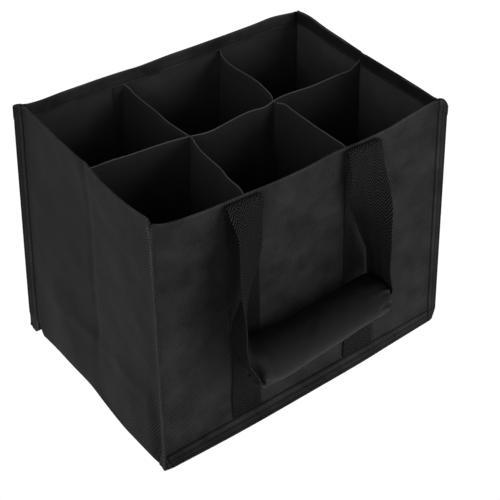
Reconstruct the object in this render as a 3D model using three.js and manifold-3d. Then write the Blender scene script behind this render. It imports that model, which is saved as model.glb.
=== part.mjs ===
// A soft carrier bag for six bottles: two long panels, one strip that makes both ends and the
// bottom, crossed dividers inside, and on each long face a webbing handle with a padded grip.
// Millimetres, +Z up. The origin is on the ground under the middle of the bag, the long faces
// look along -Y (front) and +Y (back), and the short ends along -X and +X.
import * as THREE from 'three';
import { mergeVertices } from 'three/addons/utils/BufferGeometryUtils.js';
import Module from 'manifold-3d';

// the body
const CELL_WIDTH = 90;
const COLUMNS = 3;
const LENGTH = COLUMNS * CELL_WIDTH;
const DEPTH = 182;
const HEIGHT = 219;
const CLOTH = 1.6;
const GAP = 0.3;
const HALF_LENGTH = LENGTH / 2;
const HALF_DEPTH = DEPTH / 2;
const HALF_CLOTH = CLOTH / 2;

// the seam allowances, which stand out at 45 degrees along every seam of a long panel
const FIN_LENGTH = 10;
const DIAGONAL = Math.SQRT1_2;
const FIN_SPACING = (CLOTH + GAP) / 2;
const SEAM_HEIGHT = (FIN_LENGTH + FIN_SPACING + HALF_CLOTH) * DIAGONAL;

// the hem, which is turned in around the rim
const HEM_DEPTH = 20;
const HEM_THICKNESS = 1.2;
const HEM_STEP = 1.5;
const HEM_END = 3;

// how the strip lies: creased inwards down the middle of each end, and sagging to the ground
const END_CREASE = 3;
const CREASE_SPREAD = 40;
const CREASE_FOOT = 45;
const SAG_REACH = 26;
const SAG_AT_END = 0.5;
const SAG_RUN_IN = 35;

// the dividers
const DIVIDER_TOP = 206;
const DIVIDER_THICKNESS = 1.6;

// the webbing handles
const WEBBING_WIDTH = 32;
const WEBBING_THICKNESS = 1.6;
const WEBBING_PLACE = 55;
const FOLD_HEIGHT = 202.5;
const FOLD_RADIUS = 1.25;
const TWIST_START = 0.12;
const TWIST_END = 0.85;
const HANG_STEPS = 16;
const ARC_STEPS = 6;

// the padded grips
const GRIP_LENGTH = 116;
const GRIP_RADIUS = 21.5;
const GRIP_TAPER = 1;
const GRIP_ROUNDING = 5;
const GRIP_SIDES = 28;
const GRIP_HEIGHT = 77;
const LOOP_DROP = 10;
const BEND_RADIUS = 12;
const STRAP_CLEARANCE = 2.5;

const finish = (color, roughness) => new THREE.MeshStandardMaterial({ color, roughness, metalness: 0 });
const cloth = finish(0x2a2a2b, 0.85);
const innerCloth = finish(0x202021, 0.9);
const webbing = finish(0x2e2e2f, 0.8);
const gripCloth = finish(0x262627, 0.8);

const bag = new THREE.Group();

function add(name, geometry, material, parent = bag) {
  const mesh = new THREE.Mesh(geometry, material);
  mesh.name = name;
  parent.add(mesh);
  return mesh;
}

function clamp01(value) {
  return Math.min(Math.max(value, 0), 1);
}

function smooth(value) {
  const t = clamp01(value);
  return t * t * (3 - 2 * t);
}

// A geometry from corners and faces, turned right side out.
function solid(points, faces) {
  let volume = 0;
  for (const [a, b, c] of faces) {
    volume += points[a].dot(points[b].clone().cross(points[c]));
  }
  const outward = volume > 0 ? faces : faces.map(([a, b, c]) => [a, c, b]);
  const geometry = new THREE.BufferGeometry();
  geometry.setAttribute('position', new THREE.Float32BufferAttribute(points.flatMap((p) => [p.x, p.y, p.z]), 3));
  geometry.setIndex(outward.flat());
  geometry.computeVertexNormals();
  return geometry;
}

// A closed sheet of cloth. pointAt(i, j, side) gives a corner of its grid on side -1 (inside the
// bag) or 1 (outside); each grid square is split the same way on both sides, towards the middle.
function clothSheet(columns, rows, pointAt) {
  const points = [];
  const faces = [];
  const index = (i, j, side) => ((side + 1) / 2 * rows + j) * columns + i;
  for (const side of [-1, 1]) {
    for (let j = 0; j < rows; j++) {
      for (let i = 0; i < columns; i++) points.push(pointAt(i, j, side));
    }
  }
  for (const side of [-1, 1]) {
    for (let j = 0; j + 1 < rows; j++) {
      for (let i = 0; i + 1 < columns; i++) {
        const square = [index(i, j, side), index(i + 1, j, side), index(i + 1, j + 1, side), index(i, j + 1, side)];
        const [a, b, c, d] = side > 0 ? square : square.toReversed();
        const rising = (i < (columns - 1) / 2) === (side > 0);
        if (rising) faces.push([a, b, c], [a, c, d]);
        else faces.push([a, b, d], [b, c, d]);
      }
    }
  }
  const rim = [];
  for (let i = 0; i + 1 < columns; i++) rim.push([i, 0]);
  for (let j = 0; j + 1 < rows; j++) rim.push([columns - 1, j]);
  for (let i = columns - 1; i > 0; i--) rim.push([i, rows - 1]);
  for (let j = rows - 1; j > 0; j--) rim.push([0, j]);
  rim.forEach(([i, j], k) => {
    const [ni, nj] = rim[(k + 1) % rim.length];
    const [a, b] = [index(i, j, 1), index(ni, nj, 1)];
    const [c, d] = [index(ni, nj, -1), index(i, j, -1)];
    faces.push([b, a, d], [b, d, c]);
  });
  return solid(points, faces);
}

// How far inside the seam line a wall turns out into its seam allowance, and how far outside it
// the allowance ends, both for a face that lies `offset` outside the middle of the cloth.
const foldInset = (offset) => Math.SQRT2 * (FIN_SPACING + offset) - offset;
const tipAlong = (offset) => (FIN_LENGTH - FIN_SPACING - offset) * DIAGONAL;
const tipOut = (offset) => (FIN_LENGTH + FIN_SPACING + offset) * DIAGONAL;

const RIM_ROWS = [HEIGHT - HEM_DEPTH, HEIGHT - HEM_DEPTH + HEM_STEP, HEIGHT];

// The extra thickness inside a wall that the turned-in hem gives.
function hem(height, distanceFromSeam) {
  const up = clamp01((height - RIM_ROWS[0]) / HEM_STEP);
  const along = clamp01(distanceFromSeam / HEM_END);
  return HEM_THICKNESS * up * along;
}

// A long panel: flat, with its hem inside and its seam allowances left, right and below.
const PANEL_COLUMNS = [-HALF_LENGTH + HEM_END + 2, -WEBBING_PLACE, 0, WEBBING_PLACE, HALF_LENGTH - HEM_END - 2];
const PANEL_ROWS = [HEIGHT / 3, 2 * HEIGHT / 3, ...RIM_ROWS];

function panelGeometry() {
  const columns = PANEL_COLUMNS.length + 4;
  const rows = PANEL_ROWS.length + 2;
  return clothSheet(columns, rows, (i, j, side) => {
    const offset = side * HALF_CLOTH;
    const fold = HALF_LENGTH - foldInset(offset);
    const tip = HALF_LENGTH + tipAlong(offset);
    const x = [-tip, -fold, ...PANEL_COLUMNS, fold, tip][i];
    const z = [SEAM_HEIGHT - tipAlong(offset), SEAM_HEIGHT + foldInset(offset), ...PANEL_ROWS][j];
    const onFin = i === 0 || i === columns - 1 || j === 0;
    if (onFin) return new THREE.Vector3(x, -HALF_DEPTH - tipOut(offset), z);
    const thicker = side < 0 ? hem(z, fold - Math.abs(x)) : 0;
    return new THREE.Vector3(x, -HALF_DEPTH - offset + thicker, z);
  });
}

// The inward crease of an end, and the sag of the bottom below its seams.
function crease(y, z) {
  const across = clamp01(1 - Math.abs(y) / CREASE_SPREAD);
  const up = clamp01((z - SEAM_HEIGHT) / CREASE_FOOT);
  return END_CREASE * across * up;
}

const FULL_SAG = SEAM_HEIGHT - HALF_CLOTH;

function sag(x, y) {
  const across = smooth((HALF_DEPTH - Math.abs(y)) / SAG_REACH);
  const along = SAG_AT_END + (1 - SAG_AT_END) * clamp01((HALF_LENGTH - Math.abs(x)) / SAG_RUN_IN);
  return FULL_SAG * across * along;
}

// The strip that makes the left end, the bottom and the right end in one piece.
const STRIP_COLUMNS = [-85.5, -79, -72, -65, -CREASE_SPREAD, -20, 0, 20, CREASE_SPREAD, 65, 72, 79, 85.5];
const END_ROWS = [...RIM_ROWS.toReversed(), 165, 110, SEAM_HEIGHT + CREASE_FOOT, 30];
const BOTTOM_ROWS = [-HALF_LENGTH + SAG_RUN_IN, -CELL_WIDTH / 2, 0, CELL_WIDTH / 2, HALF_LENGTH - SAG_RUN_IN];

function stripGeometry() {
  const columns = STRIP_COLUMNS.length + 4;
  const leftCorner = END_ROWS.length;
  const rightCorner = leftCorner + BOTTOM_ROWS.length + 1;
  const rows = rightCorner + 1 + END_ROWS.length;
  return clothSheet(columns, rows, (i, j, side) => {
    const offset = side * HALF_CLOTH;
    const fold = HALF_DEPTH - foldInset(offset);
    const tip = HALF_DEPTH + tipAlong(offset);
    const y = [-tip, -fold, ...STRIP_COLUMNS, fold, tip][i];
    const onFin = i === 0 || i === columns - 1;
    const out = onFin ? tipOut(offset) : offset;
    const onBottom = j >= leftCorner && j <= rightCorner;
    if (onBottom) {
      const corner = HALF_LENGTH + out;
      const x = [-corner, ...BOTTOM_ROWS, corner][j - leftCorner];
      const drop = onFin ? 0 : sag(Math.min(Math.abs(x), HALF_LENGTH), Math.min(Math.abs(y), HALF_DEPTH));
      return new THREE.Vector3(x, y, SEAM_HEIGHT - out - drop);
    }
    const z = j < leftCorner ? END_ROWS[j] : END_ROWS[rows - 1 - j];
    const inward = onFin ? 0 : crease(y, z) + (side < 0 ? hem(z, fold - Math.abs(y)) : 0);
    const x = HALF_LENGTH + out - inward;
    return new THREE.Vector3(j < leftCorner ? -x : x, y, z);
  });
}

// A divider is cut from flat cloth, and its outline keeps a gap to the walls and the bottom.
const EDGE = HALF_CLOTH + GAP;
const HEM_EDGE = EDGE + HEM_THICKNESS;

function dividerGeometry(outline) {
  const shape = new THREE.Shape(outline.map(([across, up]) => new THREE.Vector2(across, up)));
  const geometry = new THREE.ExtrudeGeometry(shape, { depth: DIVIDER_THICKNESS, bevelEnabled: false });
  geometry.translate(0, 0, -DIVIDER_THICKNESS / 2);
  geometry.rotateX(Math.PI / 2);
  return geometry;
}

// The long divider stands on the bottom and ends in the creases of both ends.
function longDividerGeometry() {
  const bottom = [-HALF_LENGTH + EDGE, ...BOTTOM_ROWS, HALF_LENGTH - EDGE];
  const outline = bottom.map((x) => [x, SEAM_HEIGHT + EDGE - sag(x, 0)]);
  const endHeights = [30, SEAM_HEIGHT + CREASE_FOOT, 110, 165, RIM_ROWS[0] - GAP, RIM_ROWS[1] - GAP, DIVIDER_TOP];
  const ends = endHeights.map((z) => [HALF_LENGTH - EDGE - crease(0, z) - hem(z + GAP, HEM_END), z]);
  outline.push(...ends, ...ends.toReversed().map(([x, z]) => [-x, z]));
  return dividerGeometry(outline);
}

// A cross divider runs from a panel to the long divider, as long as half the bag is deep.
function crossDividerGeometry() {
  const inner = DIVIDER_THICKNESS / 2 + GAP;
  const heights = STRIP_COLUMNS.filter((y) => y > 0).map((y) => [y, SEAM_HEIGHT + EDGE - sag(CELL_WIDTH / 2, y)]);
  return dividerGeometry([
    [inner, SEAM_HEIGHT + EDGE - FULL_SAG],
    ...heights,
    [HALF_DEPTH - EDGE, SEAM_HEIGHT + EDGE],
    [HALF_DEPTH - EDGE, RIM_ROWS[0] - GAP],
    [HALF_DEPTH - HEM_EDGE, RIM_ROWS[1] - GAP],
    [HALF_DEPTH - HEM_EDGE, DIVIDER_TOP],
    [inner, DIVIDER_TOP],
  ]);
}

// The webbing of one handle, on the front. Each station has a centre and the way the width runs:
// sewn flat up the panel, folded over outwards, hanging with a quarter twist, and bent level
// where it runs through the grip.
const SEWN_Y = -HALF_DEPTH - HALF_CLOTH - GAP - WEBBING_THICKNESS / 2;
const HANG_Y = SEWN_Y - 2 * FOLD_RADIUS;
const GRIP_Y = SEWN_Y - WEBBING_THICKNESS / 2 - GAP - GRIP_RADIUS - GRIP_TAPER;
const STRAP_X = GRIP_LENGTH / 2 + STRAP_CLEARANCE;
const LEVEL_HEIGHT = GRIP_HEIGHT - LOOP_DROP;
const SEWN_BOTTOM = SEAM_HEIGHT + foldInset(HALF_CLOTH) + GAP;

function sewnStations() {
  return [SEWN_BOTTOM, FOLD_HEIGHT].map((z) => ({ centre: new THREE.Vector3(WEBBING_PLACE, SEWN_Y, z), twist: 0 }));
}

function foldStations() {
  return Array.from({ length: ARC_STEPS }, (_, k) => {
    const angle = Math.PI * (k + 1) / ARC_STEPS;
    const y = SEWN_Y - FOLD_RADIUS * (1 - Math.cos(angle));
    const z = FOLD_HEIGHT + FOLD_RADIUS * Math.sin(angle);
    return { centre: new THREE.Vector3(WEBBING_PLACE, y, z), twist: 0 };
  });
}

function hangingStations() {
  const end = LEVEL_HEIGHT + BEND_RADIUS;
  const hang = new THREE.CubicBezierCurve3(
    new THREE.Vector3(WEBBING_PLACE, HANG_Y, FOLD_HEIGHT),
    new THREE.Vector3(WEBBING_PLACE, HANG_Y - 2, (2 * FOLD_HEIGHT + end) / 3),
    new THREE.Vector3(STRAP_X, GRIP_Y, (FOLD_HEIGHT + 2 * end) / 3),
    new THREE.Vector3(STRAP_X, GRIP_Y, end),
  );
  return Array.from({ length: HANG_STEPS }, (_, k) => {
    const t = (k + 1) / HANG_STEPS;
    return { centre: hang.getPoint(t), twist: smooth((t - TWIST_START) / (TWIST_END - TWIST_START)) };
  });
}

function bendStations() {
  return Array.from({ length: ARC_STEPS }, (_, k) => {
    const angle = Math.PI / 2 * (k + 1) / ARC_STEPS;
    const x = STRAP_X - BEND_RADIUS * (1 - Math.cos(angle));
    const z = LEVEL_HEIGHT + BEND_RADIUS * (1 - Math.sin(angle));
    return { centre: new THREE.Vector3(x, GRIP_Y, z), twist: 1 };
  });
}

function mirrored(stations) {
  return stations.map(({ centre, twist }) => {
    return { centre: new THREE.Vector3(-centre.x, centre.y, centre.z), twist };
  });
}

// A flat band through the stations. The outer edge of the strap turns to the front as it twists.
function bandGeometry(stations, width, thickness) {
  const points = [];
  stations.forEach(({ centre, twist }, k) => {
    const before = stations[Math.max(k - 1, 0)].centre;
    const after = stations[Math.min(k + 1, stations.length - 1)].centre;
    const along = after.clone().sub(before).normalize();
    const angle = twist * Math.PI / 2;
    const across = new THREE.Vector3(Math.sign(centre.x) * Math.cos(angle), -Math.sin(angle), 0);
    across.addScaledVector(along, -across.dot(along)).normalize().multiplyScalar(width / 2);
    const out = across.clone().cross(along).normalize().multiplyScalar(thickness / 2);
    for (const [a, b] of [[-1, -1], [1, -1], [1, 1], [-1, 1]]) {
      points.push(centre.clone().addScaledVector(across, a).addScaledVector(out, b));
    }
  });
  const faces = [[0, 2, 1], [0, 3, 2]];
  for (let k = 0; k + 1 < stations.length; k++) {
    for (let c = 0; c < 4; c++) {
      const [a, b] = [4 * k + c, 4 * k + (c + 1) % 4];
      faces.push([a, b, b + 4], [a, b + 4, a + 4]);
    }
  }
  const last = points.length - 4;
  faces.push([last, last + 1, last + 2], [last, last + 2, last + 3]);
  return solid(points, faces);
}

function webbingGeometry() {
  const half = [...sewnStations(), ...foldStations(), ...hangingStations(), ...bendStations()];
  return bandGeometry([...half, ...mirrored(half).toReversed()], WEBBING_WIDTH, WEBBING_THICKNESS);
}

// The padded grip: a rolled sleeve, a little fuller at its left end, with a slot for the webbing.
const wasm = await Module();
wasm.setup();

function toManifold(geometry) {
  const bare = geometry.clone();
  bare.deleteAttribute('normal');
  bare.deleteAttribute('uv');
  const merged = mergeVertices(bare, 1e-4);
  return new wasm.Manifold(new wasm.Mesh({
    numProp: 3,
    vertProperties: Float32Array.from(merged.attributes.position.array),
    triVerts: Uint32Array.from(merged.index.array),
  }));
}

function fromManifold(shape) {
  const mesh = shape.getMesh();
  const geometry = new THREE.BufferGeometry();
  geometry.setAttribute('position', new THREE.Float32BufferAttribute(mesh.vertProperties, 3));
  geometry.setIndex(Array.from(mesh.triVerts));
  geometry.computeVertexNormals();
  return geometry;
}

function rollGeometry() {
  const half = GRIP_LENGTH / 2;
  const profile = [new THREE.Vector2(0, -half)];
  for (const end of [-1, 1]) {
    const radius = GRIP_RADIUS - end * GRIP_TAPER;
    const corner = Array.from({ length: 4 }, (_, k) => {
      const angle = Math.PI / 2 * k / 3;
      const inset = GRIP_ROUNDING * (1 - Math.cos(angle));
      return new THREE.Vector2(radius - GRIP_ROUNDING * (1 - Math.sin(angle)), end * (half - inset));
    });
    profile.push(...(end < 0 ? corner : corner.toReversed()));
  }
  profile.push(new THREE.Vector2(0, half));
  const geometry = new THREE.LatheGeometry(profile, GRIP_SIDES);
  geometry.rotateZ(-Math.PI / 2);
  geometry.translate(0, GRIP_Y, GRIP_HEIGHT);
  return geometry;
}

function gripGeometry() {
  const bend = bendStations();
  const start = { centre: new THREE.Vector3(STRAP_X, GRIP_Y, GRIP_HEIGHT + 2 * GRIP_RADIUS), twist: 1 };
  const half = [start, ...bend];
  const slot = bandGeometry(
    [...half, ...mirrored(half).toReversed()],
    WEBBING_WIDTH + 2 * GAP,
    WEBBING_THICKNESS + 2 * GAP,
  );
  return fromManifold(toManifold(rollGeometry()).subtract(toManifold(slot)));
}

// the bag is put together
add('end_and_bottom_strip', stripGeometry(), cloth);
add('divider_long', longDividerGeometry(), innerCloth);

for (const [side, name] of [[-1, 'left'], [1, 'right']]) {
  for (const [turn, place] of [[Math.PI / 2, 'back'], [-Math.PI / 2, 'front']]) {
    const divider = add(`divider_${name}_${place}`, crossDividerGeometry(), innerCloth);
    divider.rotation.z = turn;
    divider.position.x = side * CELL_WIDTH / 2;
  }
}

for (const [turn, name] of [[0, 'front'], [Math.PI, 'back']]) {
  const face = new THREE.Group();
  face.rotation.z = turn;
  bag.add(face);
  add(`panel_${name}`, panelGeometry(), cloth, face);
  add(`webbing_${name}`, webbingGeometry(), webbing, face);
  add(`grip_${name}`, gripGeometry(), gripCloth, face);
}

export default bag;
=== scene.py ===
from functools import partial
from math import atan2, copysign, cos, dist, exp, hypot, pi, radians, sin, sqrt

import bpy
from mathutils import Matrix, Vector, noise


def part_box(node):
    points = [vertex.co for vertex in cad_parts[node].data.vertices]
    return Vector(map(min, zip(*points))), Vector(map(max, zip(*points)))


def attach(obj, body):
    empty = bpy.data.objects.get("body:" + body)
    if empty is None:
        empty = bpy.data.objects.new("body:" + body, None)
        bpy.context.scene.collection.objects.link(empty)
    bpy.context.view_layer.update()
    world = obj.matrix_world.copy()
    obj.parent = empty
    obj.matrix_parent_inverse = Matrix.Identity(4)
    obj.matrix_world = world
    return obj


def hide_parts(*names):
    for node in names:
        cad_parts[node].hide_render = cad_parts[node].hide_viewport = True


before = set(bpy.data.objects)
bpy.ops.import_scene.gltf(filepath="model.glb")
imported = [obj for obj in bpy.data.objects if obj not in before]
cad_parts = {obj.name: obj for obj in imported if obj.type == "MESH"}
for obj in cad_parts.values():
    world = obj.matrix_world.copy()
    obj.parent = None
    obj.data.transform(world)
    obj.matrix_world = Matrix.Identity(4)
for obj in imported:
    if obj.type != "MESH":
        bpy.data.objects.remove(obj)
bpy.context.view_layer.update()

MM = 0.001

WHITE = (1, 1, 1, 1)

# the sewn bag, from the frame: a cross divider stands half a compartment left of the middle, and
# the inside of a panel's solid a little inside its wall
divider_low, divider_high = [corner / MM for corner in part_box("divider_left_front")]
panel_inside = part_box("panel_front")[1] / MM
CELL = -(divider_low.x + divider_high.x)
HALF_LENGTH = 1.5 * CELL
WALL_INSIDE = 2.0
HALF_DEPTH = WALL_INSIDE - panel_inside.y
RIM = panel_inside.z
SEAM = 8.3
DIVIDER_TOP = (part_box("divider_long")[1] / MM).z

# the cloth, its hem and its seam allowances, which are called fins below
CLOTH = 0.8
HEM_DEPTH = 11.5
SEWN_HEM = 9.8
LAYER = 0.9
TURNED_IN = LAYER - 0.2
FOLD_RADIUS = LAYER / 2
SEAM_RADIUS = 0.7
CORNER_RADIUS = 3.0
FIN = 10.0
FIN_STEPS = (10, 9.5, 8.9, 8.3, 7.7, 7, 6.2, 5.5, 5, 4.6, 4.2, 3.6, 2.8, 2.1, 1.4, 0.8, 0.3)
SEAM_STEPS = (0.2, 0.7, 1.2, 1.8, 3, 4.5)
STITCH_ROWS = (4.7, 8.2)
CELL_SIZE = 2.7
STITCH = 3.2
THREAD = 0.5
THREAD_STEP = 0.8
THREAD_SIDES = 5
# the depth of the surface that a thread lies on, and the way from there out of the cloth
ON_FIN = (-CLOTH / 2, -1)
IN_HEM = (LAYER + CLOTH / 2, 1)
# the turned-in layer of the hem: how far down it, of its whole depth, and how far it swells
HEM_PROFILE = (
    (1.5, 0), (4, 0), (7.5, 0), (11.5, 0), (15.5, 0), (17.6, 0), (18.4, -0.1), (19.2, 0.1),
    (20, 0.45), (20.8, 0.55), (21.5, 0.3),
)

# how far the corners of the real bag stand from a square one: left or right, front or back,
# bottom or top
CORNER_SHIFT = {
    (-1, 1, 1): (5, -0.6, 4),
    (1, 1, 1): (-0.5, -0.7, 0),
    (1, -1, 1): (-5.4, 2.7, -1.1),
    (-1, -1, 1): (-0.6, 0.8, 0.5),
    (-1, -1, -1): (-2.2, -4, -4.7),
    (1, -1, -1): (-0.6, 0.1, 3.4),
    (-1, 1, -1): (-1.8, 1.8, -2.5),
    (1, 1, -1): (0, 0, 0),
}

# where the seam allowances point, from the seam to their edge, by corner of the bag: low and high
# on the upright seams, at the bottom corners, and along the bottom seams from left to right
SIDE_FIN = {
    (-1, -1): ((-6, -8, 0), (-6, -8, 0)),
    (-1, 1): ((-2.2, 9.8, 0), (-4.7, 5.5, 0)),
    (1, -1): ((7.8, -1.4, 0), (7.8, -2.2, 0)),
    (1, 1): ((4.7, 7.2, 0), (5, 6, 0)),
}
CORNER_FIN = {
    (-1, -1): (-7.6, -8.6, -2),
    (-1, 1): (-3.5, 7.5, 3.8),
    (1, -1): (4.4, -1.6, -9.8),
    (1, 1): (4, 6, -6),
}
# the left end's fin, where its foot is splayed on the ground
SPLAYED_FIN = (-0.9, -9, 0)
# how much lower than the rim an upright seam allowance is cut at its edge, and how late across its
# width the cut turns down
FIN_CUT = {(-1, -1): (-1.5, 2), (-1, 1): (1.6, 3), (1, -1): (7, 4), (1, 1): (7, 1)}
# how far the bottom seam allowances stand out and hang down, along the bag
FIN_OUT = {
    -1: ((-135, 10), (-73, 10.5), (-12, 9.3), (53, 7), (89, 4.6), (135, 2.6)),
    1: ((-135, 7), (135, 6.6)),
}
FIN_DOWN = {
    -1: ((-135, 3), (-73, 4.9), (-12, 6.7), (53, 8.7), (89, 9.7), (135, 9.9)),
    1: ((-135, 7.2), (135, 6.8)),
}

# how the rims rise and dip, along each long face and along each end
RIM_LINE = {
    -1: (
        (-135, -2), (-127, -6), (-110, -9), (-85, -10.5), (-55, -10.8), (-25, -11.5), (5, -10.3),
        (30, -8), (60, -7.7), (84, -6.6), (104, -3.2), (122, -1), (135, 0),
    ),
    1: (
        (-135, 0), (-122, -0.7), (-96, 0), (-42, -0.2), (-28, -0.6), (1, 0.5), (30, 0.5),
        (60, 1.2), (91, 2), (107, 2.8), (123, 1.4), (135, 0),
    ),
}
END_RIM_LINE = {
    -1: (
        (-91, 0), (-82, -1.2), (-70, -3.2), (-45, -5), (-24, -5.3), (-10, -3), (14, -1.8),
        (38, -1.8), (50, -0.6), (91, 0),
    ),
    1: ((-91, 0), (-27, 0.2), (9, 0.4), (28, 1), (47, 1.8), (67, 3.4), (80, 3), (91, 1)),
}
RIM_REACH = 110.0

# how far the foot of each end stands out from the straight wall, from front to back
FOOT_OUT = {
    -1: (
        (-91, 6), (-83, 5.9), (-62, 5.6), (-40, 5), (-14, 2.7), (14, -0.4), (38, -0.9),
        (64, -1.6), (91, -1.5),
    ),
    1: ((-91, 0), (-40, 2.5), (30, 2.5), (91, 0)),
}


def clamp01(value):
    return min(max(value, 0.0), 1.0)


def smooth(value):
    t = clamp01(value)
    return t * t * (3 - 2 * t)


def mix(a, b, t):
    return a + (b - a) * t


def hump(value, middle, width):
    """A smooth hump of height 1 at its middle, that fades over a width to each side."""
    return exp(-(((value - middle) / width) ** 2))


def ease(start, end, leave, arrive, t):
    """The smooth way from a start to an end, by the slopes with which it leaves and arrives."""
    ends = start * (2 * t**3 - 3 * t**2 + 1) + end * (3 * t**2 - 2 * t**3)
    return ends + leave * (t**3 - 2 * t**2 + t) + arrive * (t**3 - t**2)


def along_curve(points, value):
    """The smooth line through points (position, height), read at a position."""
    if value <= points[0][0]:
        return points[0][1]
    for k in range(len(points) - 1):
        (x0, y0), (x1, y1) = points[k], points[k + 1]
        if value <= x1:
            before = points[max(k - 1, 0)]
            after = points[min(k + 2, len(points) - 1)]
            width = x1 - x0
            leave = width * (y1 - before[1]) / (x1 - before[0])
            arrive = width * (after[1] - y0) / (after[0] - x0)
            return ease(y0, y1, leave, arrive, (value - x0) / width)
    return points[-1][1]


def ripple(x, y, size, seed):
    """Soft dents about one size across, between -1 and 1."""
    return noise.noise(Vector((x / size + seed * 7.3, y / size - seed * 3.1, seed * 1.7)))


def settle(point):
    """Moves a point of the square bag to where the real one stands."""
    u = clamp01((point.x + HALF_LENGTH) / (2 * HALF_LENGTH))
    v = clamp01((point.y + HALF_DEPTH) / (2 * HALF_DEPTH))
    w = clamp01((point.z - SEAM) / (RIM - SEAM))
    shift = Vector((0, 0, 0))
    for (along, across, up), corner in CORNER_SHIFT.items():
        share = (u if along > 0 else 1 - u) * (v if across > 0 else 1 - v) * (w if up > 0 else 1 - w)
        shift += Vector(corner) * share
    return point + shift


def past_seam(a, radius):
    """Splits a length across a rounded seam into what lies before it and what lies after it."""
    root = hypot(a, radius)
    return (root - a) / 2, (root + a) / 2


# the form of the walls

PANEL_BOW = {-1: 0.7, 1: 1.9}
END_CREASE = 3.0
CREASE_HALF_WIDTH = 34.0
CREASE_LINE = 0.9
FOOT_HEIGHT = 48.0


def long_face_relief(side, x, z):
    """How far a long face stands out from its plane."""
    edge = smooth((HALF_LENGTH - abs(x)) / 22) * smooth((z - SEAM) / 18)
    rim = 0.35 + 0.65 * smooth((RIM - z) / 40)
    dents = 2.1 * ripple(x, z, 62, 3 + side) + 0.9 * ripple(x, z, 24, 8 + side)
    cell = sin(pi * (x + HALF_LENGTH) / CELL) ** 2
    bow = PANEL_BOW[side] * cell * smooth((RIM - z - 6) / 30) * smooth((z - SEAM) / 60)
    return edge * (rim * dents - bow)


def end_relief(end, y, z):
    """How far an end stands out from its plane: creased inwards down its middle."""
    up = clamp01((z - SEAM) / (RIM - SEAM))
    crease = END_CREASE * hump(y, 0, CREASE_HALF_WIDTH) * smooth((z - SEAM) / FOOT_HEIGHT)
    crease *= 1 - 0.85 * smooth((z - RIM + 45) / 45)
    if end > 0:
        crease *= 0.4
    line = CREASE_LINE * hump(y, 0, 3.2) * smooth((z - SEAM - 20) / 30)
    foot = 0.7 * hump(z - SEAM, FOOT_HEIGHT, 7.0) * smooth((HALF_DEPTH - abs(y)) / 40)
    edge = smooth((HALF_DEPTH - abs(y)) / 18) * smooth((z - SEAM) / 15)
    dents = 1.7 * ripple(y, z, 48, 20 + end) + 0.7 * ripple(y, z, 19, 27 + end)
    return edge * dents * (0.6 + 0.4 * (1 - up)) + foot - crease - line


def bottom_sag(x, y):
    """The share of the way from the seams down to the ground that the bottom has sunk."""
    width = mix(30.0, 4.5, smooth((abs(x) - 100) / 32))
    return smooth((HALF_DEPTH - abs(y)) / width)


def foot_stance(end, y, height):
    """How far an end stands out near the ground."""
    reach = mix(17.0, 75.0, smooth((HALF_DEPTH - abs(y)) / 16))
    return end * along_curve(FOOT_OUT[end], y) * smooth(1 - height / reach)


def side_fin(corner, z):
    low, high = SIDE_FIN[corner]
    return Vector(low).lerp(Vector(high), clamp01((z - SEAM) / (RIM - SEAM)))


def bottom_fin(side, x):
    return Vector((0.0, side * along_curve(FIN_OUT[side], x), -along_curve(FIN_DOWN[side], x)))


def fin_relief(past):
    """How a seam allowance swells past its seam, and where the sewing pulls it in."""
    crease = -0.55 * hump(past, -0.1, 0.55)
    roll = 0.45 * hump(past, 2.2, 1.2)
    sewn = sum(-0.3 * hump(past, row, 0.45) for row in STITCH_ROWS)
    return crease + roll + sewn


def fin_drop(corner, share):
    """How much lower than the rim an upright seam allowance is cut, across its width."""
    depth, power = FIN_CUT[corner]
    return depth * share**power


def beside(fin, hint):
    """The unit direction square to a seam allowance, on the side of a hint."""
    flat = hint - fin * (hint.dot(fin) / fin.length_squared)
    return flat.normalized()


def hem_build_up(z):
    """The extra room that the turned-in hem takes between two seam allowances."""
    return LAYER * smooth((z - (RIM - HEM_DEPTH - 0.5)) / 2.5)


def grounded(point):
    """Keeps a point of the cloth above the ground."""
    point.z = max(point.z, CLOTH / 2 + 0.1)
    return point


def panel_point(side, x, z, inward=0.0):
    """A point of a long panel. Past its seams x and z count on, along the seam allowance; inward
    is the depth below the panel's outer layer."""
    corner = (1 if x > 0 else -1, side)
    before_side, after_side = past_seam(abs(x) - HALF_LENGTH, SEAM_RADIUS)
    before_foot, after_foot = past_seam(SEAM - z, SEAM_RADIUS)
    face_x = corner[0] * (HALF_LENGTH - before_side)
    face_z = SEAM + before_foot
    s = after_side / FIN
    t = after_foot / FIN
    upright = side_fin(corner, face_z)
    level = bottom_fin(side, face_x)
    out = upright * (s * (1 - t)) + level * (t * (1 - s)) + Vector(CORNER_FIN[corner]) * (s * t)
    on_side = smooth((abs(x) - HALF_LENGTH + 5) / 5)
    on_foot = smooth((SEAM - z + 5) / 5)
    face_normal = Vector((0, side, 0))
    side_normal = beside(upright, Vector((-corner[0], 0, 0)))
    foot_normal = beside(level, Vector((0, 0, 1)))
    seam_normal = side_normal * on_side + foot_normal * on_foot
    if seam_normal.length > 1:
        seam_normal.normalize()
    on_seam = max(on_side, on_foot)
    normal = (face_normal * (1 - on_seam) + seam_normal).normalized()
    swell = fin_relief(abs(x) - HALF_LENGTH) if on_side >= on_foot else fin_relief(SEAM - z)
    spread = (CLOTH / 2 - 0.03 + hem_build_up(z) + swell) * on_seam
    reach = smooth((face_z - (RIM - RIM_REACH)) / RIM_REACH) * (1 - s)
    face = Vector((face_x, side * HALF_DEPTH, face_z + reach * along_curve(RIM_LINE[side], face_x)))
    relief = long_face_relief(side, face_x, face_z)
    face.z -= fin_drop(corner, s) * smooth((z - RIM + 30) / 30)
    return grounded(settle(face) + face_normal * relief + out + normal * (spread - inward))


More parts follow.
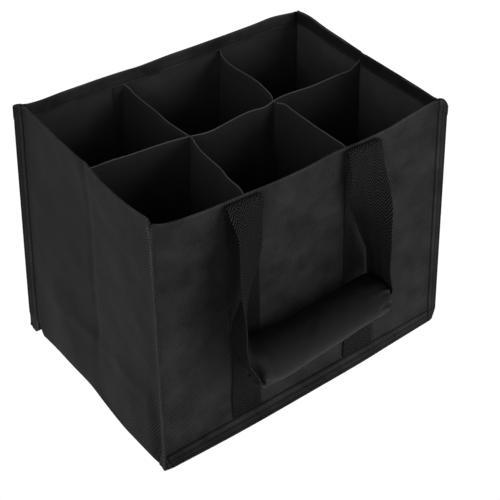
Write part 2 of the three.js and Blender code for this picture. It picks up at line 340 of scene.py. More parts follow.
def strip_point(end, y, drop, inward=0.0):
    """A point of the strip: drop is the length down an end from the rim, and past the corner the
    length along the bottom. Past a seam y counts on, along the seam allowance."""
    corner = (end, 1 if y > 0 else -1)
    before_seam, after_seam = past_seam(abs(y) - HALF_DEPTH, SEAM_RADIUS)
    past_corner = drop - (RIM - SEAM)
    up, under = past_seam(past_corner, CORNER_RADIUS)
    face_x = end * (HALF_LENGTH - under)
    face_y = corner[1] * (HALF_DEPTH - before_seam)
    face_z = SEAM + up
    s = after_seam / FIN
    upright = side_fin(corner, face_z)
    level = bottom_fin(corner[1], face_x)
    on_end = smooth(-past_corner / 3.5)
    on_bottom = smooth(past_corner / 3.5)
    fin = upright * on_end + level * on_bottom + Vector(CORNER_FIN[corner]) * (1 - on_end - on_bottom)
    turn = clamp01((past_corner + 4) / 8)
    face_normal = (Vector((end, 0, 0)) * (1 - turn) + Vector((0, 0, -1)) * turn).normalized()
    seam_normal = beside(fin, face_normal + Vector((end, 0, 0)) * 0.3 * (1 - on_bottom))
    on_seam = smooth((abs(y) - HALF_DEPTH + 5) / 5)
    normal = (face_normal * (1 - on_seam) + seam_normal * on_seam).normalized()
    swell = fin_relief(abs(y) - HALF_DEPTH)
    spread = (CLOTH / 2 - 0.03 + hem_build_up(face_z) + swell) * on_seam
    relief = end_relief(end, face_y, face_z) * (1 - turn) * (1 - smooth(under / 12))
    reach = smooth((face_z - (RIM - RIM_REACH)) / RIM_REACH) * (1 - s)
    rise = reach * along_curve(END_RIM_LINE[end], face_y)
    face = settle(Vector((face_x, face_y, face_z + rise)))
    ground = CLOTH / 2 + 0.2
    splayed = smooth(1 - up / 17) * (corner == (-1, -1))
    sunk = max(bottom_sag(face_x, face_y), splayed * smooth(1 - under / 12))
    face.z = mix(face.z, ground, sunk * (1 - smooth(up / 34)))
    face.x += foot_stance(end, face_y, up) * (1 - smooth(under / 40))
    fin = fin.lerp(Vector(SPLAYED_FIN), splayed * (1 - smooth(under / 8)))
    face.z -= fin_drop(corner, s) * smooth((30 - drop) / 30)
    return grounded(face + Vector((end, 0, 0)) * relief + fin * s + normal * (spread - inward))


# laying meshes

def deselect_all():
    bpy.ops.object.select_all(action="DESELECT")


def select_only(piece):
    deselect_all()
    piece.select_set(True)
    bpy.context.view_layer.objects.active = piece


def apply_modifier(piece, kind, **settings):
    select_only(piece)
    made = piece.modifiers.new(kind.lower(), kind)
    for name, value in settings.items():
        setattr(made, name, value)
    bpy.ops.object.modifier_apply(modifier=made.name)


def cloth_grid(name, columns, rows, place):
    """Adds a flat grid and lays each of its corners at place(i, j), which gives the point, the
    position on the flat cloth and the wear and painted light there: above 0 for wear and painted
    highlight, below 0 for painted shade and darker sewn lines."""
    deselect_all()
    bpy.ops.mesh.primitive_grid_add(x_subdivisions=columns - 1, y_subdivisions=rows - 1, size=1)
    piece = bpy.context.object
    piece.name = name
    mesh = piece.data
    mesh.name = name
    spots = {}
    wear = mesh.attributes.new("wear_and_painted_light", "FLOAT", "POINT")
    for vertex in mesh.vertices:
        i = round((vertex.co.x + 0.5) * (columns - 1))
        j = round((vertex.co.y + 0.5) * (rows - 1))
        point, flat, wear_and_painted_light = place(i, j)
        vertex.co = point * MM
        spots[vertex.index] = flat
        wear.data[vertex.index].value = wear_and_painted_light
    uv = mesh.uv_layers.active.data
    for loop in mesh.loops:
        across, up = spots[loop.vertex_index]
        uv[loop.index].uv = (across * MM, up * MM)
    mesh.update()
    return piece


def thicken(piece, thickness, lined=None, **settings):
    """Gives a cloth its thickness, and marks its lined side: the one that its normals point to, or
    the one behind."""
    first = len(piece.data.vertices)
    apply_modifier(piece, "SOLIDIFY", thickness=thickness * MM, offset=0.0, **settings)
    if lined is None:
        return
    inner = piece.data.attributes.new("inner", "FLOAT", "POINT")
    for index in range(len(piece.data.vertices)):
        inner.data[index].value = float((index < first) == (lined == "front"))


def finish_piece(piece, material, slot, *nodes):
    """Gives a piece its finish, and hides the solids that it stands for."""
    select_only(piece)
    bpy.ops.object.shade_smooth_by_angle(angle=radians(50))
    piece.data.materials.clear()
    piece.data.materials.append(material)
    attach(piece, "root")
    if nodes:
        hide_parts(*nodes)
    return piece


def edit_all(piece):
    """Opens a piece in edit mode with all of it selected."""
    select_only(piece)
    bpy.ops.object.mode_set(mode="EDIT")
    bpy.ops.mesh.select_all(action="SELECT")


def close_up(piece):
    """Merges the edges that a grid laid as a tube leaves open, and turns its faces outwards."""
    edit_all(piece)
    bpy.ops.mesh.remove_doubles(threshold=0.000002)
    bpy.ops.mesh.normals_make_consistent(inside=False)
    bpy.ops.object.mode_set(mode="OBJECT")


def flip_faces(piece):
    edit_all(piece)
    bpy.ops.mesh.flip_normals()
    bpy.ops.object.mode_set(mode="OBJECT")


def thread_row(name, place_on, start, end, surface):
    """A sewing thread that rises out of the cloth for each stitch and dips back into it. It runs
    between two stations on a cloth, whose function also takes a depth."""
    length = dist(start, end)
    level, way = surface

    def along(here, lift):
        station = (mix(a, b, here / length) for a, b in zip(start, end))
        return place_on(*station, level + way * lift)

    count = max(round(length / THREAD_STEP), 4)
    frames = []
    for k in range(count + 1):
        here = length * k / count
        dip = max(cos(2 * pi * here / STITCH), 0.0) ** 3
        lift = THREAD * 0.45 - 0.75 * dip
        up = (along(here, 1.0) - along(here, 0.0)).normalized()
        ahead = (along(here + 0.3, 0.0) - along(here - 0.3, 0.0)).normalized()
        width = 0.0 if k in (0, count) else THREAD / 2
        frames.append((along(here, lift), up * width, ahead.cross(up).normalized() * width))

    def place(i, j):
        middle, up, aside = frames[j]
        angle = 2 * pi * i / THREAD_SIDES
        return middle + up * cos(angle) + aside * sin(angle), (i * 0.1, j * THREAD_STEP), 0.0

    return cloth_grid(name, THREAD_SIDES + 1, count + 1, place)


def sew(name, rows):
    """Makes one piece of the rows of stitches."""
    made = [thread_row(name, *row) for row in rows]
    deselect_all()
    for row in made:
        row.select_set(True)
    bpy.context.view_layer.objects.active = made[0]
    if len(made) > 1:
        bpy.ops.object.join()
    close_up(made[0])
    made[0].name = name
    return finish_piece(made[0], thread_look, "cloth")


def even_steps(start, end, size):
    count = max(round(abs(end - start) / size), 1)
    return [mix(start, end, k / count) for k in range(count + 1)]


def fold_over(top, radius, steps):
    """Heights and depths below the outer layer, over a folded edge."""
    arc = [pi * k / steps for k in range(steps + 1)]
    return [(top + radius * sin(a), radius * (1 - cos(a))) for a in arc]


def hem_stations():
    """Heights and depths below the outer layer, over the turned-in rim and down its inside."""
    whole = HEM_PROFILE[-1][0]
    inside = [(RIM - down * HEM_DEPTH / whole, LAYER + bead) for down, bead in HEM_PROFILE]
    return fold_over(RIM - CLOTH / 2 - FOLD_RADIUS, FOLD_RADIUS, 6) + inside


# materials

def fill(tree, node, values):
    """Gives a node's inputs their values or links."""
    for key, value in values.items():
        if isinstance(value, bpy.types.NodeSocket):
            tree.links.new(value, node.inputs[key])
        else:
            node.inputs[key].default_value = value


def put(tree, kind, values=None, **settings):
    """Adds a node, with settings on the node and values or links for its inputs."""
    made = tree.nodes.new("ShaderNode" + kind)
    for name, value in settings.items():
        setattr(made, name, value)
    fill(tree, made, values or {})
    return made


def calc(tree, operation, a, b=0.0, c=0.0):
    return put(tree, "Math", {0: a, 1: b, 2: c}, operation=operation).outputs[0]


def wave(tree, distance, pitch):
    """A smooth ridge pattern between 0 and 1, one ridge for each pitch."""
    turns = calc(tree, "MULTIPLY", calc(tree, "DIVIDE", distance, pitch), 2 * pi)
    return calc(tree, "MULTIPLY_ADD", calc(tree, "SINE", turns), 0.5, 0.5)


def start_group(name, inputs, outputs):
    """Starts a node group that takes a place and these inputs, which are numbers or colours."""
    tree = bpy.data.node_groups.new(name, "ShaderNodeTree")
    tree.interface.new_socket(name="Vector", in_out="INPUT", socket_type="NodeSocketVector")
    for label, value in inputs.items():
        kind = "NodeSocketFloat" if isinstance(value, float) else "NodeSocketColor"
        tree.interface.new_socket(name=label, in_out="INPUT", socket_type=kind).default_value = value
    for label in outputs:
        kind = "NodeSocketColor" if label == "Color" else "NodeSocketFloat"
        tree.interface.new_socket(name=label, in_out="OUTPUT", socket_type=kind)
    return tree, tree.nodes.new("NodeGroupInput").outputs, tree.nodes.new("NodeGroupOutput")


def make_weave(name, sizes, drift, yarn_share, lines):
    """A weave on a map in metres: ribs that waver a little, and finer yarns that cross them. The
    lines are the lengths that the ribs and the yarns are counted along."""
    tree, given, result = start_group(name, sizes, ("Rib", "Height"))
    scale, detail, reach = drift
    waver = put(tree, "TexNoise", {"Vector": given["Vector"], "Scale": scale, "Detail": detail})
    parts = put(tree, "SeparateXYZ", {0: given["Vector"]}).outputs
    across, along = lines(tree, given, parts[0], parts[1])
    across = calc(tree, "MULTIPLY_ADD", waver.outputs["Fac"], reach, across)
    rib = wave(tree, across, given["Rib pitch"])
    yarn = wave(tree, along, given["Yarn pitch"])
    lift = calc(tree, "MULTIPLY_ADD", yarn, yarn_share, 1 - yarn_share)
    fill(tree, result, {"Rib": rib, "Height": calc(tree, "MULTIPLY", rib, lift)})
    return tree


def diagonal_lines(tree, given, x, y):
    sloped = calc(tree, "MULTIPLY", x, given["Slope"])
    ways = (calc(tree, "ADD", sloped, y), calc(tree, "SUBTRACT", sloped, y))
    return [calc(tree, "MULTIPLY", way, sqrt(0.5)) for way in ways]


def slanting_columns(tree, given, x, y):
    """Ribs that change their slant from one column to the next."""
    return calc(tree, "ADD", y, calc(tree, "PINGPONG", x, given["Column"])), x


DARKEST_TONE = 0.08


def make_cloth_tone():
    """Dyed cloth that has faded unevenly. It turns paler where its folds and edges are worn and carry
    painted highlights. It is darker for painted shade in its creases, and darker along sewn rows.
    Its lined side is painted paler, as painted light inside the bag.
    """
    tree, given, result = start_group(
        "dyed cloth",
        {
            "Dye": (0.02, 0.02, 0.02, 1.0), "Wear and highlight": (0.06, 0.06, 0.06, 1.0), "Weave": 0.5,
            "Weave contrast": 0.3, "Mottling": 0.25, "Inside painted light": 0.0,
        },
        ("Color", "Grain", "Outside"),
    )
    place = given["Vector"]
    fading = put(tree, "TexNoise", {"Vector": place, "Scale": 34.0, "Detail": 5.0, "Roughness": 0.62})
    broad = fading.outputs["Fac"]
    fibres = put(tree, "TexNoise", {"Vector": place, "Scale": 900.0, "Detail": 2.0, "Roughness": 0.7})
    fine = fibres.outputs["Fac"]
    inner = put(tree, "Attribute", attribute_name="inner").outputs["Fac"]
    wear_and_painted_light = put(tree, "Attribute", attribute_name="wear_and_painted_light").outputs["Fac"]
    outside = calc(tree, "MULTIPLY_ADD", inner, -0.85, 1.0)
    weave = calc(tree, "SUBTRACT", given["Weave"], 0.5)
    weave = calc(tree, "MULTIPLY", weave, given["Weave contrast"])
    weave = calc(tree, "MULTIPLY", weave, outside)
    swing = calc(tree, "MULTIPLY", calc(tree, "SUBTRACT", broad, 0.5), given["Mottling"])
    swing = calc(tree, "MULTIPLY", swing, calc(tree, "MULTIPLY_ADD", inner, -0.6, 1.0))
    tone = calc(tree, "ADD", calc(tree, "ADD", 1.0, swing), weave)
    tone = calc(tree, "MULTIPLY", tone, calc(tree, "MULTIPLY_ADD", fine, 0.3, 0.85))
    tone = calc(tree, "MAXIMUM", tone, DARKEST_TONE)
    # painted shade: the negative part of the mark darkens creases, and sewn lines too
    sunk = calc(tree, "MAXIMUM", calc(tree, "MULTIPLY", wear_and_painted_light, -0.75), 0.0)
    tone = calc(tree, "MULTIPLY", tone, calc(tree, "SUBTRACT", 1.0, sunk))
    # the lined side is painted paler, as painted light inside the bag
    tone = calc(tree, "MULTIPLY", tone, calc(tree, "MULTIPLY_ADD", inner, given["Inside painted light"], 1.0))
    # wear and painted highlight: the positive part pales folds, rims and edges
    wear_and_highlight = calc(tree, "MAXIMUM", wear_and_painted_light, 0.0)
    patchy = calc(tree, "MULTIPLY", wear_and_highlight, calc(tree, "MULTIPLY_ADD", broad, 0.8, 0.6))
    base = put(tree, "Mix", {0: patchy, 6: given["Dye"], 7: given["Wear and highlight"]}, data_type="RGBA")
    shade = put(tree, "VectorMath", {0: base.outputs[2], 3: tone}, operation="SCALE")
    fill(tree, result, {"Color": shade.outputs[0], "Grain": fine, "Outside": outside})
    return tree


def new_material(name):
    material = bpy.data.materials.new(name)
    material.use_nodes = True
    tree = material.node_tree
    return material, tree, tree.nodes["Principled BSDF"]


def gloss(roughness, shine, sheen):
    return {"Roughness": roughness, "Specular IOR Level": shine, "Sheen Weight": sheen}


def make_cloth(name, weave, sizes, dye, wear_and_highlight, contrast, mottling, relief, finish, inside_painted_light=0.0):
    """A dyed cloth on its flat map. The sizes of its weave are those that differ from the usual
    ones, contrast and mottling say how strongly the weave and the fading show, relief is in
    millimetres, the paler colour is what its wear and painted highlights turn it to, and the last
    value says how much paler its lined side is painted, as painted light inside the bag."""
    material, tree, shader = new_material(name)
    place = put(tree, "UVMap", uv_map="UVMap").outputs[0]
    woven = put(tree, "Group", {"Vector": place, **sizes}, node_tree=weave).outputs
    values = {
        "Vector": place, "Dye": (*dye, 1.0), "Wear and highlight": (*wear_and_highlight, 1.0), "Weave": woven["Rib"],
        "Weave contrast": contrast, "Mottling": mottling, "Inside painted light": inside_painted_light,
    }
    tone = put(tree, "Group", values, node_tree=TONE).outputs
    height = calc(tree, "MULTIPLY", woven["Height"], tone["Outside"])
    height = calc(tree, "MULTIPLY_ADD", tone["Grain"], 0.25, height)
    bump = put(tree, "Bump", {"Strength": 1.0, "Distance": relief * MM, "Height": height})
    fill(tree, shader, {"Base Color": tone["Color"], "Normal": bump.outputs[0], **finish})
    return material


def make_thread_look():
    material, tree, shader = new_material("thread")
    place = put(tree, "TexCoord").outputs["Object"]
    spun = put(tree, "TexNoise", {"Vector": place, "Scale": 2600.0, "Detail": 2.0}).outputs["Fac"]
    dark = (0.008, 0.008, 0.0082, 1)
    pale = (0.024, 0.024, 0.0245, 1)
    shade = put(tree, "Mix", {0: spun, 6: dark, 7: pale}, data_type="RGBA")
    bump = put(tree, "Bump", {"Strength": 0.6, "Distance": 0.1 * MM, "Height": spun})
    colour = {"Base Color": shade.outputs[2], "Normal": bump.outputs[0]}
    fill(tree, shader, {**colour, **gloss(0.5, 0.5, 0.1)})
    return material


TWILL = make_weave(
    "twill weave", {"Rib pitch": 0.0016, "Yarn pitch": 0.0009, "Slope": 1.0},
    (90.0, 2.0, 0.0009), 0.35, diagonal_lines,
)
HERRINGBONE = make_weave(
    "herringbone weave", {"Rib pitch": 0.0024, "Yarn pitch": 0.0011, "Column": 0.0054},
    (260.0, 3.0, 0.0022), 0.5, slanting_columns,
)
TONE = make_cloth_tone()
# the paler colour that wear and painted highlights on folds and edges turn the cloth to
bag_cloth = {
    "wear_and_highlight": (0.075, 0.075, 0.076), "mottling": 2.8, "relief": 0.1, "finish": gloss(0.55, 0.3, 0.05),
}
# the lined side of the ends and bottom is painted four times paler, as painted light in the
# compartments
end_cloth = make_cloth(
    "end_cloth", TWILL, {"Slope": -1.0}, dye=(0.0155, 0.0155, 0.0163), contrast=3.0, inside_painted_light=3.0,
    **bag_cloth,
)
# the lined side of the long faces is painted a little paler, as painted light inside the bag
face_cloth = make_cloth(
    "face_cloth", TWILL, {"Slope": 1.0}, dye=(0.034, 0.034, 0.0345), contrast=1.1, inside_painted_light=0.35,
    **bag_cloth,
)
# its dye is raised, as painted light in the deep compartments, and its paler colour serves wear and
# painted highlights on its top edges
divider_cloth = make_cloth(
    "divider_cloth", TWILL, {"Rib pitch": 0.0011, "Yarn pitch": 0.0007}, dye=(0.032, 0.032, 0.0325),
    wear_and_highlight=(0.13, 0.13, 0.13), contrast=0.2, mottling=0.4, relief=0.08, finish=gloss(0.65, 0.3, 0.05),
)
webbing_cloth = make_cloth(
    "webbing", HERRINGBONE, {}, dye=(0.02, 0.02, 0.0203), wear_and_highlight=(0.04, 0.04, 0.04),
    contrast=3.2, mottling=0.5, relief=1.0, finish=gloss(0.5, 0.28, 0.0),
)
grip_cloth = make_cloth(
    "grip_cloth", TWILL, {}, dye=(0.006, 0.006, 0.0062), wear_and_highlight=(0.03, 0.03, 0.03),
    contrast=0.5, mottling=0.6, relief=0.12, finish=gloss(0.45, 0.5, 0.0),
)
thread_look = make_thread_look()


# the long panels

def past_seam_from(edge):
    """Stations from a cut edge to just inside its seam."""
    return [edge - step for step in FIN_STEPS] + [edge + step for step in SEAM_STEPS[:-1]]


def across_seams(half_width):
    """Stations from one cut edge of a cloth to the other."""
    inner = half_width - SEAM_STEPS[-1]
    left = past_seam_from(-half_width)
    return left + even_steps(-inner, inner, CELL_SIZE) + [-station for station in reversed(left)]


def panel_rows():
    wall = even_steps(SEAM + SEAM_STEPS[-1], RIM - 4, CELL_SIZE)
    return [(z, 0.0) for z in past_seam_from(SEAM) + wall + [RIM - 2.2]] + hem_stations()


def fin_wear_and_painted_light(past, wear_and_highlight=0.0):
    """Seam allowances are paler along their cut edge and on their swell, with wear and painted
    highlight, darker for painted shade in the crease, and darker where they are sewn. A second value
    lifts the whole allowance past its crease with painted light."""
    edge = 0.15 * smooth((past - FIN + 0.9) / 0.8)
    swell = 0.25 * hump(past, 2.2, 1.2) + wear_and_highlight * smooth(past / 1.5)
    crease = 1.1 * hump(past, -0.1, 0.75)
    sewn = sum(0.7 * hump(past, row, 0.5) for row in STITCH_ROWS)
    return edge + swell - crease - sewn


# the folded rim and the edge of the turned-in hem are paler, with wear and painted highlight, and the
# sewn hem line is darker
def rim_wear_and_painted_light(z, inward):
    fold = 0.5 * smooth((z - RIM + 2.0) / 1.6)
    if inward < TURNED_IN:
        return fold
    depth = RIM - z
    return fold + 0.1 * smooth((depth - HEM_DEPTH + 1.8) / 1.2) - 0.4 * hump(depth, SEWN_HEM, 0.6)


def make_panel(side, name):
    columns = across_seams(HALF_LENGTH)
    rows = panel_rows()

    def place(i, j):
        x = columns[i]
        z, inward = rows[j]
        # the seam allowances at the left are painted paler still, as painted light
        upright = fin_wear_and_painted_light(abs(x) - HALF_LENGTH, 0.2 if x < 0 else 0.0)
        wear_and_painted_light = max(upright, fin_wear_and_painted_light(SEAM - z), rim_wear_and_painted_light(z, inward), key=abs)
        return panel_point(side, x, z, inward), (x, z if inward < TURNED_IN else 2 * RIM - z), wear_and_painted_light

    piece = cloth_grid(f"cloth_{name}", len(columns), len(rows), place)
    if side < 0:
        flip_faces(piece)
    thicken(piece, CLOTH, "front")
    return finish_piece(piece, face_cloth, "cloth", name)


def panel_seams(side):
    """Rows of stitches on a long panel: along the seam allowances and round its hem."""
    panel = partial(panel_point, side)
    rows = []
    for row in STITCH_ROWS:
        x = HALF_LENGTH + row
        low = SEAM - row
        for start, end in (((-x, low), (-x, RIM - 4)), ((x, low), (x, RIM - 4)), ((-x, low), (x, low))):
            rows.append((panel, start, end, ON_FIN))
    sewn = RIM - SEWN_HEM
    return rows + [(panel, (2 - HALF_LENGTH, sewn), (HALF_LENGTH - 2, sewn), IN_HEM)]


for panel_side, panel_name in ((-1, "panel_front"), (1, "panel_back")):
    make_panel(panel_side, panel_name)
    sew(f"stitches_{panel_name}", panel_seams(panel_side))


# the strip that makes both ends and the bottom

def make_strip():
    wall = RIM - SEAM
    columns = across_seams(HALF_DEPTH)
    half = [(RIM - z, inward) for z, inward in reversed(hem_stations())]
    drops = [2.2] + even_steps(4, wall - 12, CELL_SIZE)[:-1] + even_steps(wall - 12, wall + 12, 1.0)
    half += [(drop, 0.0) for drop in drops + even_steps(wall + 12, wall + HALF_LENGTH, CELL_SIZE)[1:]]
    rows = [(-1, *station) for station in half] + [(1, *station) for station in reversed(half[:-1])]

    def place(i, j):
        y = columns[i]
        end, drop, inward = rows[j]
        # its seam allowances are painted a little paler throughout, as painted light
        wear_and_painted_light = max(fin_wear_and_painted_light(abs(y) - HALF_DEPTH, 0.1), rim_wear_and_painted_light(RIM - drop, inward), key=abs)
        run = drop if inward < TURNED_IN else -drop
        flat_run = run if end < 0 else 2 * (wall + HALF_LENGTH) - run
        return strip_point(end, y, drop, inward), (y, flat_run), wear_and_painted_light

    piece = cloth_grid("cloth_ends_and_bottom", len(columns), len(rows), place)
    thicken(piece, CLOTH, "behind")
    return finish_piece(piece, end_cloth, "cloth", "end_and_bottom_strip")


def strip_seams():
    """Rows of stitches on the strip, on the side of the seam allowances that the ends show."""
    rows = []
    for end in (-1, 1):
        strip = partial(strip_point, end)
        for row in STITCH_ROWS:
            for y in (-HALF_DEPTH - row, HALF_DEPTH + row):
                rows.append((strip, (y, 4), (y, RIM - SEAM - 1), ON_FIN))
        rows.append((strip, (2 - HALF_DEPTH, SEWN_HEM), (HALF_DEPTH - 2, SEWN_HEM), IN_HEM))
    return rows


make_strip()
sew("stitches_ends", strip_seams())


# the dividers

DIVIDER = 0.38
DIVIDER_FOLD = 0.2
DIVIDER_FOOT = SEAM - 4.5
DIVIDER_DOWNS = (1.1, 1.6, 3.0, 5.0, 7.0, 8.0, 9.0)
SEWN_DIVIDER = DIVIDER_TOP - 8.0
FLAP_STEPS = (1.5, 3.5, 5.5, 7.5, 9.5)
DIVIDER_GAP = 0.4
# how far from a sewn end a divider still follows its wall
MOORING = 14.0
# the lines that the tops of the dividers follow, from above
LONG_LINE = (
    (-134, 7), (-119, 7.2), (-100, 6), (-81, 5.6), (-62, 3.6), (-40, 0), (-26, -3), (-4, -1.1),
    (20, 1.6), (31, -0.2), (41, 2), (52, 4), (74, 3.6), (134, 3.3),
)
CROSS_LINE = {
    "left_back": ((0, -40), (27, -40.4), (49, -39.3), (80, -38.7), (88, -44)),
    "left_front": (
        (0, -39.5), (22, -45.1), (37, -47.1), (51, -48.3), (64, -51), (90, -53.8),
    ),
    "right_back": (
        (3, 41.3), (11, 45.9), (21, 47.8), (36, 49.7), (64, 50.1), (81, 51.2), (90, 54.5),
    ),
    "right_front": ((1, 41.6), (6, 45.2), (15, 44.9), (33, 44.2), (80, 43.8), (90, 43.8)),
}


def on_wall(z):
    """The depth at which a divider meets the inner side of a wall."""
    return CLOTH / 2 + DIVIDER_GAP + hem_build_up(z)


def at_end(end):
    return lambda point, past, z: strip_point(end, point.y + past, RIM - z, on_wall(z))


def at_long_face(side, sign):
    return lambda point, past, z: panel_point(side, point.x + sign * past, z, on_wall(z))


def make_divider(name, node, course, length, near_wall, far_wall, rise, flap):
    """A divider whose course gives the places of its top and of its foot at a length along it. A
    wall function gives the place where it is sewn on, from the place that it reaches, a length
    along the wall and a height. Its top rises to its sewn ends, and with a flap it turns at its far
    end and lies along the wall."""
    low = DIVIDER_FOOT
    columns = even_steps(0, length, 2.6) + [length + step for step in FLAP_STEPS if flap]
    heights = even_steps(low, DIVIDER_TOP - 3, 4.0) + [DIVIDER_TOP - 1.6, DIVIDER_TOP - 1.1]
    rows = [(z, 0.0) for z in heights]
    rows += fold_over(DIVIDER_TOP - DIVIDER / 2 - DIVIDER_FOLD, DIVIDER_FOLD, 5)
    rows += [(DIVIDER_TOP - down, 2 * DIVIDER_FOLD) for down in DIVIDER_DOWNS]
    seed = len(name)

    def centre(distance, z):
        up = smooth((z - low) / (DIVIDER_TOP - low)) ** 0.8
        head, foot = course(min(max(distance, 0.0), length))
        point = foot.lerp(head, up)
        left = length - distance
        free = smooth(distance / MOORING) * smooth(left / MOORING)
        for wall, off in ((near_wall, distance), (far_wall, left)):
            if wall and off < MOORING:
                level = max(z, SEAM + 5.0)
                moored = wall(point, max(-off, 0.0), level)
                above_foot = mix(1.8, max(moored.z, 3.5), (z - low) / (level - low))
                z = mix(moored.z if z >= level else above_foot, z, smooth(off / MOORING))
                point = moored.lerp(point, smooth(off / MOORING))
        near_rise, far_rise = rise
        lift = 1.2 * ripple(distance, 0, 26, 5 + seed) * free
        lift += near_rise * (1 - smooth(distance / MOORING)) + far_rise * (1 - smooth(left / MOORING))
        lift *= smooth((z - 150) / 50)
        return Vector((point.x, point.y, z + lift)), 1.1 * ripple(distance, z, 30, seed) * free

    def surface(distance, z, inward):
        here, wave_out = centre(distance, z)
        step = centre(distance + 0.6, z)[0] - centre(distance - 0.6, z)[0]
        normal = Vector((step.y, -step.x, 0)).normalized()
        return here + normal * (wave_out - inward)

    def place(i, j):
        distance = columns[i]
        z, inward = rows[j]
        # the folded top edge is paler, with wear and painted highlight, and the sewn line is darker
        wear_and_painted_light = smooth((z - DIVIDER_TOP + 0.9) / 0.6) - 0.4 * hump(z, SEWN_DIVIDER, 0.6)
        up = z if inward < DIVIDER_FOLD else 2 * DIVIDER_TOP - z
        return surface(distance, z, inward), (distance, up), wear_and_painted_light

    piece = cloth_grid(name, len(columns), len(rows), place)
    thicken(piece, DIVIDER)
    finish_piece(piece, divider_cloth, "divider_cloth", node)
    sides = ((-DIVIDER / 2, -1), (2 * DIVIDER_FOLD + DIVIDER / 2, 1))
    start = (2, SEWN_DIVIDER)
    end = (length - 2, SEWN_DIVIDER)
    sew(f"stitches_{node}", [(surface, start, end, side) for side in sides])


def long_course(distance):
    """Along the middle: its top reaches from one leaning end to the other."""
    x = distance - HALF_LENGTH + 1.0
    near_top = DIVIDER_TOP - 3
    ends = [at_end(end)(Vector((0, y, 0)), 0, near_top).x for end, y in ((-1, 7.0), (1, 3.3))]
    line = mix(*ends, clamp01(distance / (2 * HALF_LENGTH - 2)))
    return Vector((line, along_curve(LONG_LINE, x), 0)), Vector((x, 0, 0))


make_divider(
    "long_divider", "divider_long", long_course, 2 * HALF_LENGTH - 2, at_end(-1), at_end(1),
    (5.0, 7.0), False,
)

CROSS_LENGTH = HALF_DEPTH - 1.2
CROSS_RISE = {1: 3.0, -1: 7.5}
for across_name, sign in (("left", -1), ("right", 1)):
    for depth_name, side in (("back", 1), ("front", -1)):
        place_name = f"{across_name}_{depth_name}"

        def cross_course(distance, line=CROSS_LINE[place_name], side=side, sign=sign):
            y = 1.0 + distance * (CROSS_LENGTH - 1.0) / CROSS_LENGTH
            return Vector((along_curve(line, y), side * y, 0)), Vector((sign * CELL / 2, side * y, 0))

        make_divider(
            f"cross_divider_{place_name}", f"divider_{place_name}", cross_course, CROSS_LENGTH, None,
            at_long_face(side, sign), (0.0, CROSS_RISE[side]), place_name == "left_back",
        )


# the webbing handles

STRAP_WIDTH = 32.0
STRAP_THICKNESS = 1.5
STRAP_PLACE = {-1: 57.3, 1: 55.5}
STRAP_SEWN_SHARE = {-1: 0.84, 1: 0.95}
STRAP_FOLD = {-1: 214.6, 1: 203.0}
STRAP_RADIUS = 2.3
STRAP_STEP = 1.6
STRAP_BENDS = 12
STRAP_ACROSS = 24

# how each side of the front loop hangs: height, left or right, front or back, and how far it has
# turned about itself, in degrees
HANGING = {
    -1: (
        (188, -60.2, -101.8, 21.5), (170, -63.3, -106.8, 24.3), (152, -67.4, -109.9, 32.6),
        (134, -71, -111.7, 47.4), (116, -74.8, -111.4, 64.9), (100, -76.9, -110.5, 74.5),
        (84.3, -74.9, -110.1, 77.2), (71.6, -70.6, -110.2, 84), (63.6, -67.4, -111, 85),
    ),
    1: (
        (188, 51, -100.2, 3), (170, 49.6, -105.2, 27.7), (152, 49.4, -109.4, 64.4),
        (134, 50.9, -112.2, 81.7), (116, 54.7, -111.9, 95), (100, 58.2, -110.2, 94),
        (91, 59.8, -109.9, 92),
    ),
}
# where the loop runs on inside the grip, and how far its front edge hangs there, in degrees
INSIDE = {-1: ((-52, -112.5, 54.5), 12), 1: ((46, -111.5, 79), 0)}


def turned(side, point):
    """The place on either long face of a point given for the front."""
    return point if side < 0 else Vector((-point.x, -point.y, point.z))


def sewn_point(side, sign, u, z, lift):
    """A point of the strap where it is sewn on, drawn in a little by its seams below the fold."""
    wide = mix(STRAP_SEWN_SHARE[sign], 1.0, smooth((z - 160) / 40))
    x = sign * (STRAP_PLACE[sign] + u * wide * STRAP_WIDTH / 2)
    return panel_point(side, x if side < 0 else -x, z, -(CLOTH / 2 + STRAP_THICKNESS / 2 + 0.1 + lift))


def loose_centre_line(side, sign):
    """The hanging strap's centre line and the way its width runs, from the fold to the grip."""
    start = turned(side, sewn_point(side, sign, 0.0, STRAP_FOLD[side], 2 * STRAP_RADIUS))
    known = ((start.z, start.x, start.y, 0.0),) + HANGING[sign]
    lines = [[(start.z - row[0], row[k]) for row in known] for k in (1, 2, 3)]
    drop = lines[0][-1][0]
    count = round(drop / STRAP_STEP)
    stations = []
    for k in range(1, count + 1):
        here = drop * k / count
        x, y, twist = (along_curve(line, here) for line in lines)
        angle = radians(twist)
        across = Vector((sign * cos(angle), -sin(angle), 0.0))
        stations.append((Vector((x, y, start.z - here)), across, 1.0))
    last, across, _ = stations[-1]
    down = (last - stations[-2][0]).normalized()
    goal_place, hang = INSIDE[sign]
    goal = Vector(goal_place)
    level = Vector((0.0, -cos(radians(hang)), -sin(radians(hang))))
    reach = 1.25 * (goal - last).length
    for k in range(1, STRAP_BENDS + 1):
        t = k / STRAP_BENDS
        point = ease(last, goal, down * reach, Vector((-sign, 0, 0)) * reach, t)
        wide = 1 - 0.27 * smooth(1.3 * t)
        level_in = across.lerp(level, smooth(t)).normalized()
        point -= level_in * (STRAP_WIDTH / 2 * (1 - wide) * (sign < 0))
        stations.append((point, level_in, wide))
    return [(turned(side, centre), turned(side, across), wide) for centre, across, wide in stations]


